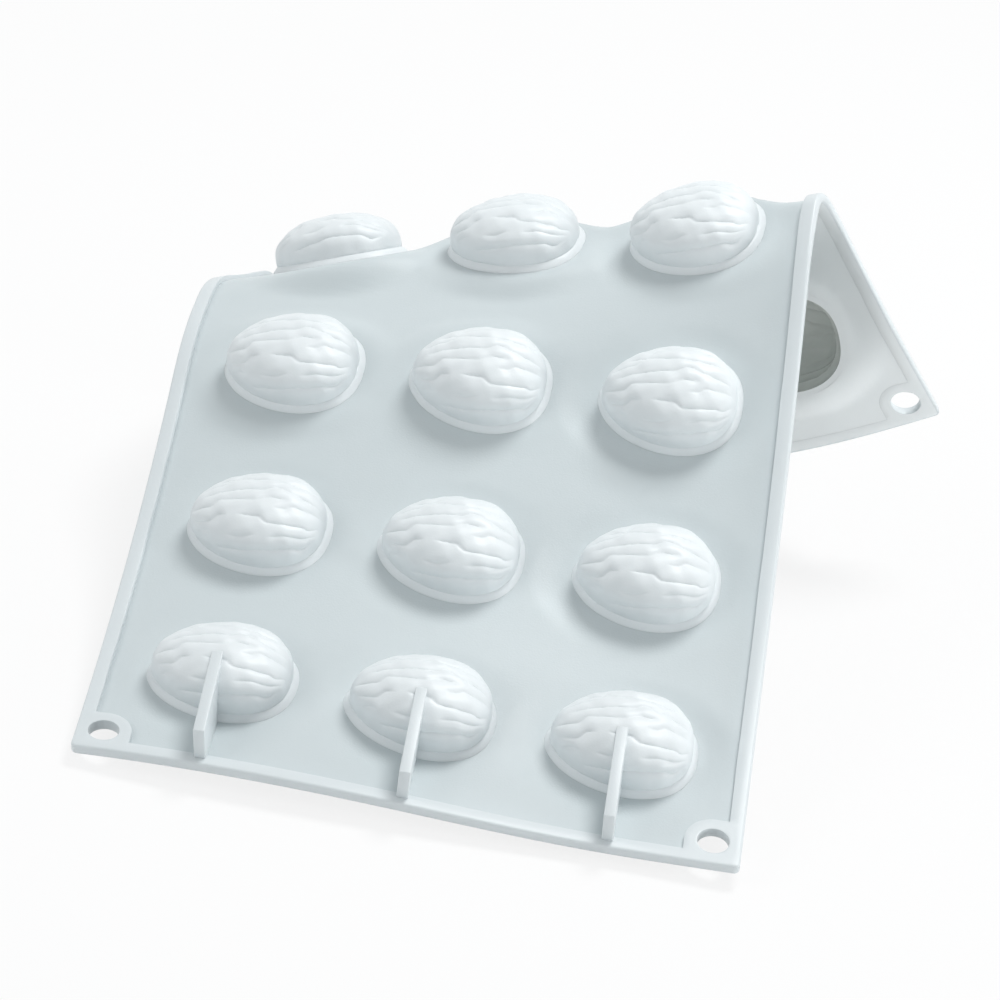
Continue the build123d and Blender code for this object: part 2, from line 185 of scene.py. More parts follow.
def cup_frame(row, column, reach=8.0):
    u = np.array([0, -reach, reach, 0, 0]) + COLUMNS[column]
    v = np.array([0, 0, 0, -reach, reach]) + ROWS[row]
    centre, left, right, below, above = bent(u, v)
    across = unit(right - left)
    outward = unit(np.cross(across, above - below))
    origin = ((below + above) / 2 + centre) / 2
    return origin, np.array([across, np.cross(outward, across), outward])


FRAMES = {(row, column): cup_frame(row, column) for row in range(5) for column in range(3)}


def sheet(u, v):
    points = bent(u, v)
    total = np.zeros_like(u)
    shift = np.zeros_like(points)
    for (row, column), (origin, axes) in FRAMES.items():
        x = u - COLUMNS[column]
        y = v - ROWS[row]
        distance = np.hypot(x / CUP_HALF_LENGTH, y / CUP_HALF_WIDTH)
        weight = 1 - smooth_step((distance - FLAT_TO) / FADE)
        flat = origin + x[..., None] * axes[0] + y[..., None] * axes[1]
        shift += (flat - points) * weight[..., None]
        total += weight
    return points + shift / np.maximum(total, 1.0)[..., None]


def sheet_normal(u, v, reach=1.0):
    low, high = np.maximum(v - reach, 0), np.minimum(v + reach, SHEET_LENGTH)
    across = sheet(u + reach, v) - sheet(u - reach, v)
    normal = np.cross(across, sheet(u, high) - sheet(u, low))
    return normal / np.linalg.norm(normal, axis=-1, keepdims=True)


def over_sheet(flat):
    """Bent places of flat points: u and v on the sheet and h above its outer face."""
    return sheet(flat[:, 0], flat[:, 1]) + sheet_normal(flat[:, 0], flat[:, 1]) * flat[:, 2:]


# %% [markdown]
# The formula's own frame differs from the object's by one rigid move. The four corner holes are in
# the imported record, with their places and directions, so the move that carries the formula's holes
# onto them is found by least squares, and everything else follows it.

# %% The move from the formula's frame to the object's
side = HALF_WIDTH - HOLE_FROM_SIDE
HOLES = {
    "front_left_corner_hole": (-side, HOLE_FROM_END),
    "front_right_corner_hole": (side, HOLE_FROM_END),
    "rear_left_corner_hole": (-side, SHEET_LENGTH - HOLE_FROM_END),
    "rear_right_corner_hole": (side, SHEET_LENGTH - HOLE_FROM_END),
}
mounts = {mount["name"]: mount for mount in frame["record"]["mounts"]}
flat_holes = np.array([(*HOLES[name], 0.0) for name in HOLES])
here = sheet(flat_holes[:, 0], flat_holes[:, 1])
there = np.array([mounts[name]["pos_m"] for name in HOLES]) * 1000
left_vectors, _, right_vectors = np.linalg.svd((here - here.mean(0)).T @ (there - there.mean(0)))
mirror = np.diag([1, 1, np.sign(np.linalg.det(left_vectors @ right_vectors))])
STAND = left_vectors @ mirror @ right_vectors
ORIGIN = there.mean(0) - here.mean(0) @ STAND
print("holes off by", round(float(np.abs(here @ STAND + ORIGIN - there).max()), 4), "mm")


def standing(points):
    """Points in the object's frame, in metres."""
    return (points @ STAND + ORIGIN) / 1000


# %% [markdown]
# Two small helpers finish every mesh. One moves the vertices of a bmesh with a formula. The other
# makes the object, keeps edges sharp where the casting has a crisp step and smooth elsewhere,
# gives the piece its body and hides the CAD nodes that it stands for.

# %% Helpers for finished pieces
def moved(bm, formula):
    points = np.array([vert.co[:] for vert in bm.verts])
    for vert, point in zip(bm.verts, formula(points)):
        vert.co = point


def finished(name, bm, replaced, body=None, crease=38):
    bmesh.ops.recalc_face_normals(bm, faces=bm.faces)
    mesh = bpy.data.meshes.new(name)
    bm.to_mesh(mesh)
    bm.free()
    for polygon in mesh.polygons:
        polygon.use_smooth = True
    mesh.set_sharp_from_angle(angle=math.radians(crease))
    piece = bpy.data.objects.new(name, mesh)
    scene.collection.objects.link(piece)
    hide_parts(*replaced)
    if body:
        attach(piece, body)
    mesh.calc_loop_triangles()
    print(name, len(mesh.loop_triangles), "triangles")
    return piece


# %% [markdown]
# A cup is half a walnut shell: pointed at its left end, blunt at its right one, with a smooth sloping
# skirt at its foot and soft folds that run lengthwise above it. A bisected UV sphere with its poles
# at the two ends has its mesh lines where the folds run, so it is shaped by formula. The outline
# comes first.

# %% The walnut outline and its dome
ROUNDNESS = 2.3
FULLNESS = 0.85
PINCH = 0.15
POINT_DEPTH = 0.05
POINT_SPAN = 0.05
LENGTH_SCALE = 1 + POINT_DEPTH / 2
WIDTH_SCALE = 1.0125


def outline(angle, half_length=CUP_HALF_LENGTH, half_width=CUP_HALF_WIDTH):
    cosine, sine = np.cos(angle), np.sin(angle)
    point = POINT_DEPTH * (0.5 - np.exp(-(1 + cosine) / POINT_SPAN))
    full = np.sign(sine) * np.abs(sine) ** FULLNESS
    x = half_length * (cosine + point) / LENGTH_SCALE
    return x, half_width * full * (1 + PINCH * cosine) / WIDTH_SCALE


def dome(points, inset):
    """Points of a unit half sphere shaped to the walnut, smaller by an inset all round."""
    rise = np.maximum(points[:, 2], 0.0)
    reach = np.minimum(np.hypot(points[:, 0], points[:, 1]), 1.0)
    angle = np.arctan2(points[:, 1], points[:, 0])
    x, y = outline(angle, CUP_HALF_LENGTH - inset, CUP_HALF_WIDTH - inset)
    scale = reach ** (2 / ROUNDNESS)
    height = (CUP_HEIGHT - inset) * rise ** (2 / ROUNDNESS)
    return np.stack([x * scale, y * scale, height], axis=-1)


# %% [markdown]
# The folds are thin valleys between soft pillows. Each wanders along the shell, so it is given by a
# few places along the shell and the angle round it at each, from the front side over the crown to
# the back. Between them the angle steps smoothly, and the valley fades out at both its ends. Two
# slow waves keep the pillows from looking alike.

# %% The folds of the shell
SKIRT_HEIGHT = 1.9
SKIRT_SLOPE = 1.3
SKIRT_BLEND = 7.5
GROOVE_DEPTH = 0.28
GROOVE_WIDTH = 0.3
FOLD_SCALE = 1.5
FOLD_FADE = 0.16
CUSP_WIDTH = 0.38
VALLEY_WIDTH = 1.5
FOLDS = (
    # depth, places along the shell from -1 at its point to 1, angles round it
    (0.24, (-0.78, -0.62, -0.46), (38, 43, 41)),
    (0.44, (-0.48, -0.1, 0.25, 0.62, 0.76, 0.9), (25, 27, 30, 31, 28, 38)),
    (0.3, (-0.32, -0.1, 0.16), (42, 41, 45)),
    (0.36, (0.26, 0.52, 0.75, 0.92), (43, 45, 43, 47)),
    (0.34, (-0.84, -0.57, -0.43, -0.28), (55, 55, 64, 64)),
    (0.44, (-0.2, 0.12, 0.28, 0.71, 0.8, 0.94), (65, 65, 58, 58, 55, 62)),
    (0.36, (-0.92, -0.6, -0.45, 0.0, 0.25, 0.52), (75, 75, 84, 85, 92, 93)),
    (0.3, (0.28, 0.44, 0.55, 0.92), (77, 78, 84, 86)),
    (0.38, (-0.74, -0.4, 0.04, 0.3, 0.5, 0.9), (93, 98, 102, 110, 105, 103)),
    (0.34, (-0.62, -0.1, 0.4, 0.84), (122, 119, 121, 127)),
    (0.32, (-0.85, -0.5, -0.1, 0.2), (108, 111, 138, 140)),
    (0.36, (0.05, 0.4, 0.85), (146, 141, 144)),
    (0.4, (-0.55, 0.0, 0.45, 0.86), (155, 157, 154, 160)),
)


def stepping(t, places, values):
    """Values that step smoothly from one place to the next."""
    last = len(places) - 1
    index = np.clip(np.searchsorted(places, t) - 1, 0, last - 1)
    low, high = np.array(places)[index], np.array(places)[index + 1]
    share = smooth_step((t - low) / (high - low))
    return np.array(values)[index] * (1 - share) + np.array(values)[index + 1] * share


def folded(points, inset):
    """Dome points pushed in for the sloping skirt, the groove over it and the folds."""
    x, y, h = points.T
    outward = points / np.array([CUP_HALF_LENGTH, CUP_HALF_WIDTH, CUP_HEIGHT]) ** 2
    outward /= np.linalg.norm(outward, axis=1, keepdims=True)
    t = x / (CUP_HALF_LENGTH - inset)
    turn = np.degrees(np.arctan2(h, -y))
    radius = np.hypot(h, y)
    skirt = np.clip(h / SKIRT_HEIGHT, 0, 1)
    push = SKIRT_SLOPE * (smooth_step((h - SKIRT_HEIGHT) / SKIRT_BLEND) - skirt)
    push -= GROOVE_DEPTH * np.exp(-np.abs(h - SKIRT_HEIGHT - 0.05) / GROOVE_WIDTH)
    clear = smooth_step((h - SKIRT_HEIGHT) / 1.2) * smooth_step((1 - np.abs(t)) / 0.12)
    for depth, places, angles in FOLDS:
        gap = np.radians(turn - stepping(t, places, angles)) * radius
        fade = smooth_step((t - places[0]) / FOLD_FADE) * smooth_step((places[-1] - t) / FOLD_FADE)
        cusp = np.exp(-np.abs(gap) / CUSP_WIDTH)
        valley = 0.6 * cusp + 0.4 * np.exp(-(gap / VALLEY_WIDTH) ** 2)
        push -= FOLD_SCALE * depth * valley * fade * clear
    slow = np.sin(0.38 * x + 1.1) * np.sin(0.6 * y + 0.2 * x + 2.0)
    quick = np.sin(0.9 * x - 0.4 * y + 0.6) * np.sin(0.95 * y + 0.3 * x + 1.4)
    push += (0.15 * slow + 0.1 * quick) * clear
    return points + outward * push[:, None]


# %% [markdown]
# All the cups were cast from the same shape, so one mesh is made and the others are its copies. The
# outer dome and the cavity are two half spheres, one inside the other. Each has a short wall down
# to the sheet's inner face, and a flat lip between the two walls closes the cup.

# %% The template of a cup
def half_sphere(bm, around, along, layer, mark):
    """Half sphere with its poles at the shell's two ends and a wall under it, open at its foot."""
    made = bmesh.ops.create_uvsphere(bm, u_segments=around, v_segments=along, radius=1)["verts"]
    bmesh.ops.rotate(bm, verts=made, matrix=Matrix.Rotation(math.pi / 2, 3, "Y"))
    geometry = made + list({edge for vert in made for edge in vert.link_edges})
    geometry += list({face for vert in made for face in vert.link_faces})
    bmesh.ops.bisect_plane(
        bm, geom=geometry, dist=1e-5, plane_co=(0, 0, 0), plane_no=(0, 0, 1), clear_inner=True)
    made = [vert for vert in bm.verts if vert[layer] == 0]
    rim = [edge for edge in bm.edges if edge.is_boundary and edge.verts[0][layer] == 0]
    wall = bmesh.ops.extrude_edge_only(bm, edges=rim)["geom"]
    low = [item for item in wall if isinstance(item, bmesh.types.BMVert)]
    for vert in low:
        vert.co.z = -1
    for vert in made + low:
        vert[layer] = mark
    return sorted(low, key=lambda vert: (math.atan2(vert.co.y, vert.co.x) + 0.01) % math.tau)


OUTER, INNER = 1, 2
bm = bmesh.new()
layer = bm.verts.layers.int.new("shell")
foot = half_sphere(bm, 384, 120, layer, OUTER)
mouth = half_sphere(bm, 240, 120, layer, INNER)
marks = np.array([vert[layer] for vert in bm.verts])
unit_points = np.array([vert.co[:] for vert in bm.verts])
cup_points = np.empty_like(unit_points)
for mark, inset in ((OUTER, 0.0), (INNER, CUP_WALL)):
    chosen = marks == mark
    shaped = folded(dome(unit_points[chosen], inset), inset)
    shaped[unit_points[chosen][:, 2] < -0.5, 2] = -WEB_THICKNESS
    cup_points[chosen] = shaped
for vert, point in zip(bm.verts, cup_points):
    vert.co = point
for face in bm.faces:
    face.material_index = face.verts[0][layer] - OUTER
lip = list(zip(foot, mouth))
for (outer, inner), (next_outer, next_inner) in zip(lip, lip[1:] + lip[:1]):
    bm.faces.new((outer, next_outer, next_inner, inner)).material_index = 2
bmesh.ops.recalc_face_normals(bm, faces=bm.faces)
template = bpy.data.meshes.new("walnut_cup")
bm.to_mesh(template)
bm.free()
template.shade_smooth()
template.set_sharp_from_angle(angle=math.radians(40))
template.calc_loop_triangles()
print("one cup", len(template.loop_triangles), "triangles")

# %% [markdown]
# Every cup takes a copy of the template, set in its own frame. The fifth row hangs on the flap, so
# it rides with that.


# %% The fifteen cups
def walnut_cup(row, column):
    origin, axes = FRAMES[row, column]
    mesh = template.copy()
    mesh.vertices.foreach_set("co", standing(origin + cup_points @ axes).ravel())
    mesh.update()
    name = f"cup_row_{row + 1}_{COLUMN_NAMES[column]}"
    mesh.name = "walnut_" + name
    piece = bpy.data.objects.new("walnut_" + name, mesh)
    scene.collection.objects.link(piece)
    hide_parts(name)
    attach(piece, "rear_flap" if row == 4 else "front_sheet")
    return piece


cups = [walnut_cup(row, column) for row in range(5) for column in range(3)]
bpy.data.meshes.remove(template)
print(len(cups), "cups")

# %% [markdown]
# The web is the thin sheet between the cups. Each cup has its own cell of it, a ring of quads that
# runs from the cup's outline to the cell's rectangle, so no straight grid has to be cut along a
# curve. The cells share their borders and are welded, strips are added round them, and the whole
# face is extruded to its thickness before it is bent. At the corners it ends under the eyelets.

# %% The web
CELL_SIDE = 36
CELL_RINGS = 9
UNDER_RIM = 0.3
RECESS = 0.03
WEB_EDGE = HALF_WIDTH - RIM_WIDTH + UNDER_RIM
WEB_END = RIM_WIDTH - UNDER_RIM
CELL_U = (COLUMNS[2] - COLUMNS[1]) / 2
CELL_V = (ROWS[1] - ROWS[0]) / 2
CELLS_EDGE = COLUMNS[2] + CELL_U
CELLS_START = ROWS[0] - CELL_V
CELLS_END = ROWS[4] + CELL_V
EYELET_MARGIN = 0.3


def ring_position(share, corner_u, corner_v):
    """Place on a ring between the cup's outline and the cell's rectangle."""
    angle = np.arctan2(corner_v / CUP_HALF_WIDTH, corner_u / CUP_HALF_LENGTH)
    x, y = outline(angle)
    return x + (corner_u - x) * share, y + (corner_v - y) * share


def web_cell(bm, row, column):
    count = 4 * CELL_SIDE
    made = bmesh.ops.create_circle(bm, segments=count, radius=1)["verts"]
    edges = list({edge for vert in made for edge in vert.link_edges})
    fractions = np.arange(CELL_SIDE) / CELL_SIDE * 2 - 1
    border = [(1, f) for f in fractions] + [(-f, 1) for f in fractions]
    border += [(-1, -f) for f in fractions] + [(f, -1) for f in fractions]
    border = np.array(border) * (CELL_U, CELL_V)
    loop = made
    for ring in range(CELL_RINGS + 1):
        x, y = ring_position(ring / CELL_RINGS, border[:, 0], border[:, 1])
        for vert, u, v in zip(loop, x, y):
            vert.co = (COLUMNS[column] + u, ROWS[row] + v, 0)
        if ring < CELL_RINGS:
            order = {vert: index for index, vert in enumerate(loop)}
            result = bmesh.ops.extrude_edge_only(bm, edges=edges)["geom"]
            verts = [item for item in result if isinstance(item, bmesh.types.BMVert)]
            edges = [item for item in result if isinstance(item, bmesh.types.BMEdge)
                     and item.verts[0] in set(verts) and item.verts[1] in set(verts)]
            partner = {}
            for vert in verts:
                for edge in vert.link_edges:
                    other = edge.other_vert(vert)
                    if other in order:
                        partner[order[other]] = vert
            loop = [partner[index] for index in range(count)]


def on_line(edge, axis, value):
    return all(abs(vert.co[axis] - value) < 1e-4 for vert in edge.verts)


def widened(bm, axis, start, stop, strips=2):
    """Strips of quads added to the open edges on one side of the web."""
    edges = [edge for edge in bm.edges if edge.is_boundary and on_line(edge, axis, start)]
    for strip in range(strips):
        result = bmesh.ops.extrude_edge_only(bm, edges=edges)["geom"]
        place = start + (stop - start) * (strip + 1) / strips
        for item in result:
            if isinstance(item, bmesh.types.BMVert):
                item.co[axis] = place
        edges = [item for item in result if isinstance(item, bmesh.types.BMEdge)
                 and on_line(item, axis, place)]


def in_corner(vert):
    """Whether a place is in a corner hole or between it and the corner."""
    across = max(0.0, HALF_WIDTH - abs(vert.co.x) - HOLE_FROM_SIDE)
    along = max(0.0, min(vert.co.y, SHEET_LENGTH - vert.co.y) - HOLE_FROM_END)
    return math.hypot(across, along) < HOLE_RADIUS + EYELET_MARGIN


bm = bmesh.new()
for row in range(5):
    for column in range(3):
        web_cell(bm, row, column)
bmesh.ops.remove_doubles(bm, verts=bm.verts, dist=1e-3)
widened(bm, 0, -CELLS_EDGE, -WEB_EDGE)
widened(bm, 0, CELLS_EDGE, WEB_EDGE)
widened(bm, 1, CELLS_START, WEB_END)
widened(bm, 1, CELLS_END, SHEET_LENGTH - WEB_END)
under_eyelets = [face for face in bm.faces if any(in_corner(vert) for vert in face.verts)]
bmesh.ops.delete(bm, geom=under_eyelets, context="FACES")
bmesh.ops.recalc_face_normals(bm, faces=bm.faces)
if sum(face.normal.z for face in bm.faces) < 0:
    bmesh.ops.reverse_faces(bm, faces=bm.faces)
lower = bmesh.ops.extrude_face_region(bm, geom=bm.faces[:] + bm.edges[:] + bm.verts[:])["geom"]
for item in lower:
    if isinstance(item, bmesh.types.BMVert):
        item.co.z = -WEB_THICKNESS + RECESS
for face in bm.faces:
    face.material_index = int(all(vert.co.z < 0 for vert in face.verts))
moved(bm, lambda points: standing(over_sheet(points)))
web = finished("silicone_web", bm,
               ["web_row_1", "web_row_2", "web_row_3", "web_row_4", "web_row_5", "fold_web"])

# %% [markdown]
# The rim is a raised band round the whole sheet, wider at the corners where it carries the
# hanging holes. Its long parts are grids. A corner is a ring of quads between the hole and an outline
# that is rounded inside, where it meets the web, and has the sheet's small corner radius outside.
# Welded together, extruded and bevelled, they become one frame.

# %% The rim with its eyelets
CORNER_RADIUS = 1.6
OUTSIDE_BEVEL = 0.7
INSIDE_BEVEL = 0.15
PAD_U = HOLE_FROM_SIDE + BOSS_RADIUS
PAD_V = HOLE_FROM_END + BOSS_RADIUS
ARC_STEPS = 14


def arc(centre_u, centre_v, radius, start, stop, steps):
    turns = np.radians(np.linspace(start, stop, steps + 1))
    return [(centre_u + radius * math.cos(t), centre_v + radius * math.sin(t)) for t in turns]


def corner_outline():
    """Outline of a corner of the rim, with the sheet's corner at the origin."""
    half = RIM_WIDTH / 2
    points = [(half, PAD_V), (0, PAD_V)]
    points += [(0, v) for v in np.linspace(PAD_V, CORNER_RADIUS, 12)[1:-1]]
    points += arc(CORNER_RADIUS, CORNER_RADIUS, CORNER_RADIUS, 180, 270, 6)
    points += [(u, 0) for u in np.linspace(CORNER_RADIUS, PAD_U, 12)[1:-1]]
    points += [(PAD_U, 0), (PAD_U, half), (PAD_U, RIM_WIDTH)]
    points += [(PAD_U, v) for v in np.linspace(RIM_WIDTH, HOLE_FROM_END, 5)[1:-1]]
    points += arc(HOLE_FROM_SIDE, HOLE_FROM_END, BOSS_RADIUS, 0, 90, ARC_STEPS)
    points += [(u, PAD_V) for u in np.linspace(HOLE_FROM_SIDE, RIM_WIDTH, 5)[1:-1]]
    return points + [(RIM_WIDTH, PAD_V)]


def eyelet(bm, side, end):
    """One corner: rings between its hole and its outline, mirrored into place."""
    rings = []
    rim_points = corner_outline()
    for share in (0.0, 0.12, 0.5, 1.0):
        ring = []
        for u, v in rim_points:
            angle = math.atan2(v - HOLE_FROM_END, u - HOLE_FROM_SIDE)
            hole_u = HOLE_FROM_SIDE + HOLE_RADIUS * math.cos(angle)
            hole_v = HOLE_FROM_END + HOLE_RADIUS * math.sin(angle)
            place_u = HALF_WIDTH - (hole_u + (u - hole_u) * share)
            place_v = hole_v + (v - hole_v) * share
            ring.append(bm.verts.new((
                side * place_u, place_v if end < 0 else SHEET_LENGTH - place_v, 0)))
        rings.append([bm.edges.new((ring[i], ring[(i + 1) % len(ring)])) for i in range(len(ring))])
    for inner, outer in zip(rings, rings[1:]):
        bmesh.ops.bridge_loops(bm, edges=inner + outer)


def strip(bm, low_u, high_u, low_v, high_v, cells_u, cells_v):
    made = bmesh.ops.create_grid(bm, x_segments=cells_u, y_segments=cells_v, size=0.5)["verts"]
    centre = Vector(((low_u + high_u) / 2, (low_v + high_v) / 2, 0))
    bmesh.ops.scale(bm, verts=made, vec=(high_u - low_u, high_v - low_v, 1))
    bmesh.ops.translate(bm, verts=made, vec=centre)


bm = bmesh.new()
for side in (-1, 1):
    for end in (-1, 1):
        eyelet(bm, side, end)
    inner, outer = sorted((side * (HALF_WIDTH - RIM_WIDTH), side * HALF_WIDTH))
    strip(bm, inner, outer, PAD_V, SHEET_LENGTH - PAD_V, 2, 220)
span = HALF_WIDTH - PAD_U
strip(bm, -span, span, 0, RIM_WIDTH, 96, 2)
strip(bm, -span, span, SHEET_LENGTH - RIM_WIDTH, SHEET_LENGTH, 96, 2)
bmesh.ops.remove_doubles(bm, verts=bm.verts, dist=1e-3)
bmesh.ops.recalc_face_normals(bm, faces=bm.faces)
for vert in bm.verts:
    vert.co.z = -WEB_THICKNESS
upper = bmesh.ops.extrude_face_region(bm, geom=bm.faces[:] + bm.edges[:] + bm.verts[:])["geom"]
for item in upper:
    if isinstance(item, bmesh.types.BMVert):
        item.co.z = RIM_RISE
bmesh.ops.recalc_face_normals(bm, faces=bm.faces)


def is_step(edge):
    """Edges where the rim's top or bottom turns into a wall."""
    if len(edge.link_faces) != 2:
        return False
    level = abs(edge.verts[0].co.z - edge.verts[1].co.z) < 1e-6
    return level and edge.calc_face_angle(0) > math.radians(60)


def is_outside(edge):
    middle = (edge.verts[0].co + edge.verts[1].co) / 2
    across = HALF_WIDTH - abs(middle.x)
    along = min(middle.y, SHEET_LENGTH - middle.y)
    return min(across, along) < 1e-3 or (across < CORNER_RADIUS and along < CORNER_RADIUS)


outside = [edge for edge in bm.edges if is_step(edge) and is_outside(edge)]
bmesh.ops.bevel(bm, geom=outside, offset=OUTSIDE_BEVEL, offset_type="OFFSET", segments=3,
                profile=0.5, affect="EDGES", material=-1, clamp_overlap=True)
inside = [edge for edge in bm.edges if is_step(edge) and not is_outside(edge)]
bmesh.ops.bevel(bm, geom=inside, offset=INSIDE_BEVEL, offset_type="OFFSET", segments=2,
                profile=0.5, affect="EDGES", material=-1, clamp_overlap=True)
for face in bm.faces:
    face.material_index = int(all(vert.co.z < -WEB_THICKNESS + 0.01 for vert in face.verts))
moved(bm, lambda points: standing(over_sheet(points)))
rim = finished("silicone_rim", bm, [
    name for name in frame["nodes"] if name.endswith("_rim") or name.endswith("_corner_boss")])

# %% [markdown]
# A fin is a flat upright plate from beside a cup's crown to the rim, a little rounded on all its edges.
# It is cut from one outline in the cup's frame: down the shell and a little into its wall, along the
# sheet, up over the rim, and back to the crown in one straight line.

# %% The fins
FIN_THICKNESS = 3.0
FIN_FROM_END = 2.3
FIN_END_HEIGHT = 9.3
FIN_SUNK = 0.4
FIN_BEVEL = 0.3
CROWN_ANGLE = 76


def fin(row, column):
    origin, axes = FRAMES[row, column]
    outward = -1 if row == 0 else 1
    end = 0.0 if row == 0 else SHEET_LENGTH
    face_v = end - outward * FIN_FROM_END
    rim_v = end - outward * (RIM_WIDTH - 0.2)
    foot_v = np.linspace(ROWS[row] + outward * (CUP_HALF_WIDTH - 0.5), rim_v, 7)
    flat = [(COLUMNS[column], v, -FIN_SUNK) for v in foot_v]
    flat += [(COLUMNS[column], v, RIM_RISE - FIN_SUNK) for v in (rim_v, face_v)]
    in_cup = (over_sheet(np.array(flat)) - origin) @ axes.T
    toward = unit(in_cup[-1, :2])

    turns = np.linspace(-math.pi, math.pi, 2001)
    x, y = outline(turns)
    turn = turns[np.argmax((x * toward[0] + y * toward[1]) / np.hypot(x, y))]
    rise = np.radians(np.linspace(CROWN_ANGLE, 2, 12))
    level = np.cos(rise)
    line = np.stack([level * math.cos(turn), level * math.sin(turn), np.sin(rise)], axis=-1)
    shell = folded(dome(line, 0.0), 0.0)

    profile = [(point[:2] @ toward - FIN_SUNK, point[2] - FIN_SUNK / 2) for point in shell]
    profile += [(point[:2] @ toward, point[2]) for point in in_cup]
    profile += [(profile[-1][0], profile[-1][1] + FIN_END_HEIGHT + FIN_SUNK),
                (profile[0][0], CUP_HEIGHT - 0.1)]
    bm = bmesh.new()
    face = bm.faces.new([bm.verts.new((-FIN_THICKNESS / 2, y, z)) for y, z in profile])
    result = bmesh.ops.extrude_face_region(bm, geom=[face])["geom"]
    far = [item for item in result if isinstance(item, bmesh.types.BMVert)]
    bmesh.ops.translate(bm, verts=far, vec=(FIN_THICKNESS, 0, 0))
    bmesh.ops.recalc_face_normals(bm, faces=bm.faces)
    sharp = [edge for edge in bm.edges if edge.calc_face_angle(0) > math.radians(25)]
    bmesh.ops.bevel(bm, geom=sharp, offset=FIN_BEVEL, offset_type="OFFSET", segments=3,
                    profile=0.5, affect="EDGES", material=-1, clamp_overlap=True)
    bmesh.ops.triangulate(bm, faces=[face for face in bm.faces if len(face.verts) > 4])
    across = np.array([toward[1], -toward[0]])

    def placed(points):
        plan = points[:, :1] * across + points[:, 1:2] * toward
        return standing(origin + np.column_stack([plan, points[:, 2]]) @ axes)

    moved(bm, placed)
    name = f"{'front' if row == 0 else 'rear'}_fin_{COLUMN_NAMES[column]}"
    body = "front_sheet" if row == 0 else "rear_flap"
    return finished("silicone_" + name, bm, [name], body)


fins = [fin(row, column) for row in (0, 4) for column in range(3)]

# %% [markdown]
# The web and the rim cross the fold. Of the directions square to the fold's axis, the one that
# parts the front from the flap most clearly is found, and the places where a bend across the fold
# would start and end are worked out, between the last point of the one and the first of the other.
# The web and the rim are not bent by it; their transforms are only baked into their meshes.

# %% The bend across the fold
joint = frame["joints"][0]
hinge = np.array(joint["pos_m"])
axis = np.array(joint["axis"])
CUP_MARGIN = 1.5
FLEX_START = ROWS[3] + CUP_HALF_WIDTH + CUP_MARGIN
FLEX_END = ROWS[4] - CUP_HALF_WIDTH - CUP_MARGIN


def from_hinge(low_v, high_v):
    """Points of the sheet, on both its faces, as seen from the hinge."""
    flat = [(u, v, h) for u in np.linspace(-HALF_WIDTH, HALF_WIDTH, 60)
            for v in np.linspace(low_v, high_v, 60) for h in (-WEB_THICKNESS, RIM_RISE)]
    return standing(over_sheet(np.array(flat))) - hinge


front_points = from_hinge(0, FLEX_START)
flap_points = from_hinge(FLEX_END, SHEET_LENGTH)
level = unit(np.cross(axis, (0, 0, 1)))
upright = np.cross(axis, level)
turns = np.radians(np.arange(0, 360, 3))
directions = np.outer(np.cos(turns), level) + np.outer(np.sin(turns), upright)
front_reach = (front_points @ directions.T).max(axis=0)
flap_reach = (flap_points @ directions.T).min(axis=0)
clearest = np.argmax(flap_reach - front_reach)
across_fold = directions[clearest]
bend_start = tuple(hinge + across_fold * front_reach[clearest])
bend_end = tuple(hinge + across_fold * flap_reach[clearest])
print("bends over", round((flap_reach - front_reach)[clearest] * 1000, 2), "mm")
for piece in (web, rim):
    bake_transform(piece)

# %% [markdown]
# Shader maths reads best as plain expressions, so one small class wraps a socket. Its operators
# add Math nodes, and one method adds any other node: its settings first, then its sockets.

# %% Shader maths as expressions
class Signal:
    def __init__(self, tree, socket=None):
        self.tree = tree
        self.socket = socket

    def node(self, kind, settings=None, sockets=None, output=0):
        made = self.tree.nodes.new(kind)
        for key, value in (settings or {}).items():
            setattr(made, key, value)
        for key, value in (sockets or {}).items():
            if isinstance(value, Signal):
                self.tree.links.new(value.socket, made.inputs[key])
            else:
                made.inputs[key].default_value = value
        return Signal(self.tree, made.outputs[output] if made.outputs else None)

    def maths(self, operation, first, second):
        return self.node("ShaderNodeMath", {"operation": operation}, {0: first, 1: second})

    def __add__(self, other):
        return self.maths("ADD", self, other)

    def __sub__(self, other):
        return self.maths("SUBTRACT", self, other)

    def __rsub__(self, other):
        return self.maths("SUBTRACT", other, self)

    def __mul__(self, other):
        return self.maths("MULTIPLY", self, other)

    __radd__ = __add__
    __rmul__ = __mul__
